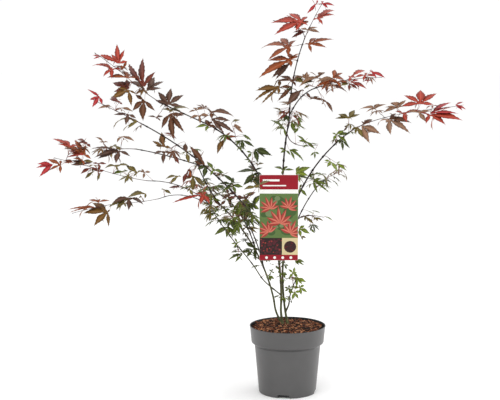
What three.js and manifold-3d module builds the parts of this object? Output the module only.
// A young Japanese maple in a nursery pot: slender stems rising from one clump, long boughs that
// reach out to both sides, pads of foliage along them, and a hanging plant label.
// Millimetres, +Z up, origin at the centre of the pot's underside, +X to the right, +Y to the back.

import * as THREE from 'three';
import { mergeVertices } from 'three/addons/utils/BufferGeometryUtils.js';
import Module from 'manifold-3d';

const wasm = await Module();
wasm.setup();

// ---------------------------------------------------------------- driving dimensions

const GAP = 0.35; // clearance between pieces that touch

const POT = {
  height: 170,
  rimRadius: 95, // outside of the lip
  lipHeight: 2.5,
  bandTopRadius: 94.2, // the plain band below the lip
  bandFootRadius: 90.5,
  bandFoot: 128, // height of the band's lower edge
  bodyTop: 121.5, // height where the sloped shoulder meets the body
  bodyTopRadius: 82.4,
  footRadius: 72,
  footRounding: 2,
  wall: 2,
  underside: 6, // how far the floor stands above the ground between pad and foot ring
  floorTop: 9,
  padRadius: 20, // flat centre pad that touches the ground
  footRingWidth: 6,
  segments: 40,
};

const NOTCH = { count: 4, turn: -9.6, topWidth: 25, footWidth: 38, height: 8.5, depth: 20 };

const SOIL_TOP = 163; // surface of the potting mix, a little under the rim

const TUBE = { sides: 7, step: 34, fewestSteps: 3, flare: 0.75, flareLength: 22, buried: 3 };

// Each limb runs in equal steps, while its heading (0 = +X, 90 = +Y) and its slope above the
// horizontal swing evenly from foot to tip, so both have two values. A slope past 90 leans back.
// A stem has its foot in the potting mix, and a bough leaves another limb at a share of its length.
const stem = (name, foot, heading, slope, length, radius) => (
  { name, foot, heading, slope, length, radius }
);
const bough = (name, from, at, heading, slope, length, radius) => (
  { name, from, at, heading, slope, length, radius }
);
const LIMBS = [
  stem('stem_left', [-24, 40], [154, 175], [84, 43], 343, [2.4, 1.7]),
  stem('stem_centre', [-18, 18], [212, 199], [95, 78], 220, [2.8, 2.2]),
  stem('stem_right', [1, 22], [146, 181], [77, 99], 220, [2.7, 2.1]),
  bough('stem_stub', 'stem_right', 0.08, [0, 0], [80, 85], 55, [1.9, 1.4]),
  bough('leader_lower', 'stem_right', 1, [390, 333], [98, 79], 305, [2, 1.5]),
  bough('leader_upper', 'leader_lower', 1, [22, 11], [89, 69], 200, [1.4, 1]),
  bough('bough_upper_right', 'leader_lower', 1, [301, 329], [64, 12], 140, [1.3, 1]),
  bough('bough_upper_back', 'leader_lower', 0.4, [88, 76], [70, 30], 215, [1.3, 1]),
  bough('bough_right', 'stem_right', 0.95, [26, 6], [82, 34], 346, [1.9, 1.3]),
  bough('bough_low_left', 'stem_centre', 0.4, [203, 211], [42, 57], 315, [1.9, 1.3]),
  bough('bough_low_left_up', 'bough_low_left', 1, [207, 201], [41, 1], 165, [1.2, 1]),
  bough('bough_low_left_down', 'bough_low_left', 0.97, [147, 148], [26, -22], 155, [1.1, 1]),
  bough('bough_middle_left', 'stem_centre', 0.86, [203, 194], [59, 28], 485, [1.9, 1.1]),
  bough('bough_side_left', 'bough_middle_left', 0.59, [153, 150], [15, 6], 210, [1.2, 1]),
  bough('bough_top_left', 'stem_centre', 1, [128, 172], [85, 29], 350, [2, 1.4]),
  bough('bough_top_left_outer', 'bough_top_left', 1, [172, 172], [23, 25], 140, [1.3, 1.1]),
  bough('shoot_left_inner', 'stem_left', 1, [154, 136], [47, 69], 170, [1.4, 1]),
  bough('bough_front', 'stem_left', 0.42, [250, 258], [58, 22], 250, [1.4, 1]),
  bough('bough_back_left', 'stem_left', 0.55, [118, 126], [58, 12], 240, [1.4, 1]),
  bough('bough_back_right', 'stem_right', 0.7, [62, 55], [62, 28], 270, [1.5, 1]),
  bough('shoot_front_right', 'stem_stub', 1, [320, 310], [75, 55], 55, [1.1, 1]),
];

const SPHERE = { around: 9, down: 6, lump: 0.13 };

// Each mass of foliage is an uneven pad. Its centre lies `ahead` of a point on its limb, along the
// pad's own heading and slope, and `lift` above it. Its size is [length, width, height].
const pad = (name, limb, at, ahead, lift, heading, slope, size) => (
  { name, limb, at, ahead, lift, heading, slope, size }
);
const MASSES = [
  pad('foliage_leader_tip', 'leader_upper', 1, 52, 0, 21, 62, [98, 30, 62]),
  pad('foliage_leader_top_left', 'leader_upper', 0.96, 48, 14, 186, 26, [88, 26, 60]),
  pad('foliage_leader_left', 'leader_upper', 0.6, 54, 10, 194, 24, [92, 28, 92]),
  pad('foliage_leader_fork', 'leader_upper', 0.36, 30, 0, 188, 4, [126, 34, 60]),
  pad('foliage_upper_right', 'bough_upper_right', 1, 12, 2, 339, 10, [112, 30, 54]),
  pad('foliage_upper_right_tip', 'bough_upper_right', 1, 108, 0, 343, 9, [90, 30, 50]),
  pad('foliage_leader_right', 'leader_lower', 0.88, 70, 0, 311, -12, [100, 24, 38]),
  pad('foliage_leader_middle', 'leader_lower', 0.8, 4, 0, 160, 0, [84, 34, 42]),
  pad('foliage_upper_back', 'bough_upper_back', 1, 56, 0, 84, 14, [118, 64, 28]),
  pad('foliage_right_hanging', 'bough_right', 0.9, 4, -10, 10, 24, [84, 30, 52]),
  pad('foliage_right_middle', 'bough_right', 1, 66, 0, 7, 18, [122, 30, 76]),
  pad('foliage_right_tip', 'bough_right', 1, 204, 0, 5, 12, [164, 30, 70]),
  pad('foliage_back_right', 'bough_back_right', 1, 58, 0, 52, 14, [122, 72, 30]),
  pad('foliage_right_low', 'bough_back_right', 0.5, 36, 0, 350, 6, [72, 30, 48]),
  pad('foliage_front_right', 'shoot_front_right', 0.6, 8, 0, 340, 62, [96, 36, 52]),
  pad('foliage_top_left_low', 'bough_top_left', 0.6, 0, 0, 150, 52, [122, 34, 56]),
  pad('foliage_top_left_shoulder', 'bough_top_left', 0.93, 0, 6, 170, 20, [118, 34, 70]),
  pad('foliage_top_left_middle', 'bough_top_left_outer', 0.76, 0, -2, 172, 12, [72, 28, 108]),
  pad('foliage_top_left_inner', 'bough_top_left_outer', 1, 74, 0, 176, 38, [108, 30, 88]),
  pad('foliage_top_left_tip', 'bough_top_left_outer', 1, 168, 0, 176, 37, [94, 28, 74]),
  pad('foliage_middle_left', 'bough_middle_left', 0.87, 0, -10, 194, 20, [70, 28, 82]),
  pad('foliage_middle_left_tip', 'bough_middle_left', 1, 72, 0, 191, 27, [138, 26, 50]),
  pad('foliage_middle_inner', 'bough_middle_left', 0.34, 0, 0, 200, 45, [130, 42, 76]),
  pad('foliage_side_left_tip', 'bough_side_left', 1, 70, 0, 164, -5, [118, 30, 46]),
  pad('foliage_low_left_middle', 'bough_low_left_up', 1, 70, 0, 191, 15, [128, 28, 48]),
  pad('foliage_low_left_tip', 'bough_low_left_up', 1, 198, 8, 193, 13, [122, 32, 86]),
  pad('foliage_down_left_middle', 'bough_low_left_down', 1, 62, 0, 172, -8, [118, 28, 42]),
  pad('foliage_down_left_tip', 'bough_low_left_down', 1, 184, 0, 172, -10, [106, 30, 64]),
  pad('foliage_inner_left', 'shoot_left_inner', 0.5, 0, 0, 148, 60, [136, 34, 74]),
  pad('foliage_stem_left', 'stem_left', 0.8, 0, 0, 174, 40, [136, 48, 76]),
  pad('foliage_stem_left_low', 'stem_left', 0.5, 26, 0, 186, 10, [84, 34, 54]),
  pad('foliage_low_left_inner', 'bough_low_left', 0.82, 0, 0, 208, 40, [104, 34, 62]),
  pad('foliage_back_left', 'bough_back_left', 1, 56, 0, 126, 6, [120, 76, 28]),
  pad('foliage_front', 'bough_front', 1, 56, 0, 250, 8, [120, 76, 28]),
];

const LABEL = { width: 95, height: 212, thickness: 0.8, x: -23.5, y: -30, z: 445 };

const TIE = { at: 0.46, inside: 3, strap: 1.2, height: 6, turnPoints: 6 };

// Finishes: colour, roughness.
const FINISH = {
  pot: [0x66686a, 0.6],
  mix: [0x5a3a26, 0.95],
  bark: [0x55502f, 0.8],
  leaves: [0x6d5a3c, 0.7],
  card: [0xb5203c, 0.45],
  tie: [0xe8e6e0, 0.5],
};

// ---------------------------------------------------------------- helpers

const radians = THREE.MathUtils.degToRad;
const mix = THREE.MathUtils.lerp;

// Unit vector for a heading and a slope in degrees.
function direction(heading, slope) {
  const level = Math.cos(radians(slope));
  const x = level * Math.cos(radians(heading));
  const y = level * Math.sin(radians(heading));
  return new THREE.Vector3(x, y, Math.sin(radians(slope)));
}

// A closed three.js geometry as a solid that can be cut.
function solidOf(geometry) {
  const bare = geometry.clone();
  bare.deleteAttribute('normal');
  bare.deleteAttribute('uv');
  const merged = mergeVertices(bare, 1e-3);
  const vertProperties = merged.attributes.position.array;
  const triVerts = new Uint32Array(merged.index.array);
  return new wasm.Manifold(new wasm.Mesh({ numProp: 3, vertProperties, triVerts }));
}

// The solid back as a geometry with flat faces.
function geometryOf(solid) {
  const mesh = solid.getMesh();
  const geometry = new THREE.BufferGeometry();
  geometry.setAttribute('position', new THREE.BufferAttribute(mesh.vertProperties, 3));
  geometry.setIndex(new THREE.BufferAttribute(mesh.triVerts, 1));
  const flat = geometry.toNonIndexed();
  flat.computeVertexNormals();
  return flat;
}

function largestBody(solid) {
  const bodies = solid.decompose();
  return bodies.reduce((best, body) => (body.volume() > best.volume() ? body : best));
}

function boxesMeet(a, b) {
  const p = a.boundingBox();
  const q = b.boundingBox();
  return [0, 1, 2].every((k) => p.min[k] < q.max[k] && q.min[k] < p.max[k]);
}

// Takes away every keep-out solid that the piece reaches, and keeps the largest body left.
function cutClear(solid, keepOuts) {
  const near = keepOuts.filter((other) => boxesMeet(solid, other));
  const cut = near.reduce((left, other) => left.subtract(other), solid);
  return largestBody(cut);
}

function material([color, roughness]) {
  return new THREE.MeshStandardMaterial({ color, roughness, metalness: 0 });
}

function named(name, geometry, finish) {
  const mesh = new THREE.Mesh(geometry, material(finish));
  mesh.name = name;
  return mesh;
}

// ---------------------------------------------------------------- pot and potting mix

function lathe(profile) {
  const points = profile.map(([radius, height]) => new THREE.Vector2(radius, height));
  const turned = new THREE.LatheGeometry(points, POT.segments);
  return turned.rotateX(Math.PI / 2);
}

// Radii of the pot's inner wall, from the floor up.
function innerWall(gap) {
  const inset = POT.wall + gap;
  return [
    [POT.footRadius + 0.5 - inset, POT.floorTop + gap],
    [POT.bodyTopRadius - inset, POT.bodyTop],
    [POT.bandFootRadius - inset, POT.bandFoot],
    [POT.bandTopRadius - inset, POT.height],
  ];
}

function potProfile() {
  const ringInside = POT.footRadius - POT.footRingWidth;
  return [
    [0, 0],
    [POT.padRadius, 0],
    [POT.padRadius + 1.5, POT.underside],
    [ringInside - 1.5, POT.underside],
    [ringInside, 0],
    [POT.footRadius - POT.footRounding, 0],
    [POT.footRadius, POT.footRounding],
    [POT.bodyTopRadius, POT.bodyTop],
    [POT.bandFootRadius, POT.bandFoot],
    [POT.bandTopRadius, POT.height - POT.lipHeight],
    [POT.rimRadius, POT.height - POT.lipHeight],
    [POT.rimRadius, POT.height],
    ...innerWall(0).reverse(),
    [0, POT.floorTop],
  ];
}

// A wedge that opens a drainage notch under the foot ring.
function notchCutter(angle) {
  const half = NOTCH.footWidth / 2;
  const top = NOTCH.topWidth / 2;
  const outline = new THREE.Shape();
  outline.moveTo(-half, -1);
  outline.lineTo(half, -1);
  outline.lineTo(top, NOTCH.height);
  outline.lineTo(-top, NOTCH.height);
  const wedge = new THREE.ExtrudeGeometry(outline, { depth: NOTCH.depth, bevelEnabled: false });
  wedge.rotateX(Math.PI / 2);
  wedge.translate(0, -POT.footRadius + POT.footRingWidth + 7, 0);
  return wedge.rotateZ(radians(angle));
}

function pot() {
  let body = solidOf(lathe(potProfile()));
  for (let i = 0; i < NOTCH.count; i += 1) {
    const angle = NOTCH.turn + (360 / NOTCH.count) * i;
    body = body.subtract(solidOf(notchCutter(angle)));
  }
  return named('pot', geometryOf(body), FINISH.pot);
}

function pottingMix() {
  const wall = innerWall(GAP);
  const [topRadius] = wall[3];
  const [bandRadius] = wall[2];
  const share = (SOIL_TOP - POT.bandFoot) / (POT.height - POT.bandFoot);
  const surfaceRadius = mix(bandRadius, topRadius, share);
  const profile = [[0, wall[0][1]], ...wall.slice(0, 3), [surfaceRadius, SOIL_TOP], [0, SOIL_TOP]];
  return named('potting_mix', lathe(profile), FINISH.mix);
}

// ---------------------------------------------------------------- stems and boughs

const centrelines = new Map();

// The point at a share of a limb's length.
function pointOn(name, share) {
  const points = centrelines.get(name);
  const place = share * (points.length - 1);
  const below = Math.min(Math.floor(place), points.length - 2);
  return points[below].clone().lerp(points[below + 1], place - below);
}

function centreline(limb) {
  const start = limb.from
    ? pointOn(limb.from, limb.at)
    : new THREE.Vector3(limb.foot[0], limb.foot[1], SOIL_TOP);
  const steps = Math.max(TUBE.fewestSteps, Math.round(limb.length / TUBE.step));
  const points = [start];
  for (let i = 0; i < steps; i += 1) {
    const share = (i + 0.5) / steps;
    const heading = mix(limb.heading[0], limb.heading[1], share);
    const slope = mix(limb.slope[0], limb.slope[1], share);
    const stride = direction(heading, slope).multiplyScalar(limb.length / steps);
    points.push(points[i].clone().add(stride));
  }
  return points;
}

// Lengthens a centreline at both ends, so that a cut through it is clean.
function overrun(points, extra) {
  const last = points.length - 1;
  const back = points[0].clone().sub(points[1]).setLength(extra);
  const on = points[last].clone().sub(points[last - 1]).setLength(extra);
  const longer = points.map((point) => point.clone());
  longer[0].add(back);
  longer[last].add(on);
  return longer;
}

function unitCircle(sides) {
  const corners = [];
  for (let i = 0; i < sides; i += 1) {
    const angle = (2 * Math.PI * i) / sides;
    corners.push(new THREE.Vector2(Math.cos(angle), Math.sin(angle)));
  }
  return new THREE.Shape(corners);
}

// A tapering tube: a 1 mm round section is drawn along the path, and each ring then swells
// to the limb's radius at its place.
function taperedTube(points, radiusAt) {
  const path = new THREE.CatmullRomCurve3(points);
  const steps = points.length - 1;
  const options = { steps, extrudePath: path, bevelEnabled: false };
  const tube = new THREE.ExtrudeGeometry(unitCircle(TUBE.sides), options);
  const rings = path.getSpacedPoints(steps);
  const corners = tube.attributes.position;
  const corner = new THREE.Vector3();
  for (let i = 0; i < corners.count; i += 1) {
    corner.fromBufferAttribute(corners, i);
    const gaps = rings.map((ring) => ring.distanceToSquared(corner));
    const nearest = gaps.indexOf(Math.min(...gaps));
    const centre = rings[nearest];
    corner.sub(centre).multiplyScalar(radiusAt(nearest / steps)).add(centre);
    corners.setXYZ(i, corner.x, corner.y, corner.z);
  }
  return tube;
}

// Radius along a limb, with the root flare on a stem that stands in the potting mix.
function radiusRule(limb, extra) {
  return (share) => {
    const plain = mix(limb.radius[0], limb.radius[1], share);
    const fromGround = share * limb.length;
    const flare = limb.foot ? TUBE.flare * Math.max(0, 1 - fromGround / TUBE.flareLength) : 0;
    return plain * (1 + flare) + extra;
  };
}

// What lies below the surface of the potting mix, which cuts each stem's foot flat.
function belowGround() {
  const slab = new THREE.BoxGeometry(4 * POT.rimRadius, 4 * POT.rimRadius, 40);
  slab.translate(0, 0, SOIL_TOP + GAP - 20);
  return solidOf(slab);
}

// A limb as a solid, thicker and longer all round by `extra`. A stem starts below the ground.
function limbSolid(limb, extra) {
  const points = overrun(centrelines.get(limb.name), limb.foot ? TUBE.buried : extra);
  return solidOf(taperedTube(points, radiusRule(limb, extra)));
}

// All limbs in order: each is cut clear of the ground and of the limbs before it.
function limbs(keepOuts) {
  return LIMBS.map((limb) => {
    centrelines.set(limb.name, centreline(limb));
    const solid = cutClear(limbSolid(limb, 0), keepOuts);
    keepOuts.push(limbSolid(limb, GAP));
    return named(limb.name, geometryOf(solid), FINISH.bark);
  });
}

// ---------------------------------------------------------------- masses of foliage

// Uneven outline: a few waves of different lengths round the pad, out of step from pad to pad.
function lumpiness(p, index) {
  const long = Math.sin(2.3 * p.x + 1.7 * index);
  const middle = Math.sin(4.1 * p.z - 2.9 * p.x + 2.3 * index);
  const short = Math.sin(5.3 * p.y + 3.7 * p.x + 0.9 * index);
  return 1 + SPHERE.lump * (0.6 * long + 0.9 * middle + 0.7 * short);
}

function massSolid(mass, index, extra) {
  const ball = new THREE.SphereGeometry(1, SPHERE.around, SPHERE.down);
  ball.rotateZ(Math.PI / 2);
  const half = new THREE.Vector3(...mass.size.map((side) => side / 2 + extra));
  const corners = ball.attributes.position;
  const corner = new THREE.Vector3();
  for (let i = 0; i < corners.count; i += 1) {
    corner.fromBufferAttribute(corners, i);
    const uneven = lumpiness(corner, index);
    corner.multiply(half).multiplyScalar(uneven);
    corners.setXYZ(i, corner.x, corner.y, corner.z);
  }
  ball.rotateY(-radians(mass.slope));
  ball.rotateZ(radians(mass.heading));
  const centre = pointOn(mass.limb, mass.at);
  centre.addScaledVector(direction(mass.heading, mass.slope), mass.ahead);
  return solidOf(ball.translate(centre.x, centre.y, centre.z + mass.lift));
}

// All masses in order: each is cut round the limbs in it and clear of the masses before it.
function masses(keepOuts) {
  return MASSES.map((mass, index) => {
    const solid = cutClear(massSolid(mass, index, 0), keepOuts);
    keepOuts.push(massSolid(mass, index, GAP));
    return named(mass.name, geometryOf(solid), FINISH.leaves);
  });
}

// ---------------------------------------------------------------- plant label

function labelCard() {
  return new THREE.BoxGeometry(LABEL.width, LABEL.thickness, LABEL.height)
    .translate(LABEL.x, LABEL.y, LABEL.z);
}

// A narrow strap that loops from the back of the card round the leader.
function labelTie() {
  const held = pointOn('leader_lower', TIE.at);
  const front = LABEL.y + LABEL.thickness / 2 + GAP;
  const stadium = (radius, nearY) => {
    const outline = new THREE.Path();
    outline.moveTo(held.x + radius, nearY);
    outline.lineTo(held.x + radius, held.y);
    outline.absarc(held.x, held.y, radius, 0, Math.PI, false);
    outline.lineTo(held.x - radius, nearY);
    outline.closePath();
    return outline.getPoints(TIE.turnPoints);
  };
  const outside = new THREE.Shape(stadium(TIE.inside + TIE.strap, front));
  outside.holes.push(new THREE.Path(stadium(TIE.inside, front + TIE.strap)));
  const strap = new THREE.ExtrudeGeometry(outside, { depth: TIE.height, bevelEnabled: false });
  return strap.translate(0, 0, held.z - TIE.height / 2);
}

// ---------------------------------------------------------------- the whole plant

const plant = new THREE.Group();
plant.add(pot(), pottingMix());

const keepOuts = [belowGround()];
plant.add(...limbs(keepOuts));

const card = labelCard();
const tie = labelTie();
plant.add(named('plant_label', card, FINISH.card), named('label_tie', tie, FINISH.tie));
keepOuts.push(solidOf(card), solidOf(tie));

plant.add(...masses(keepOuts));

export default plant;
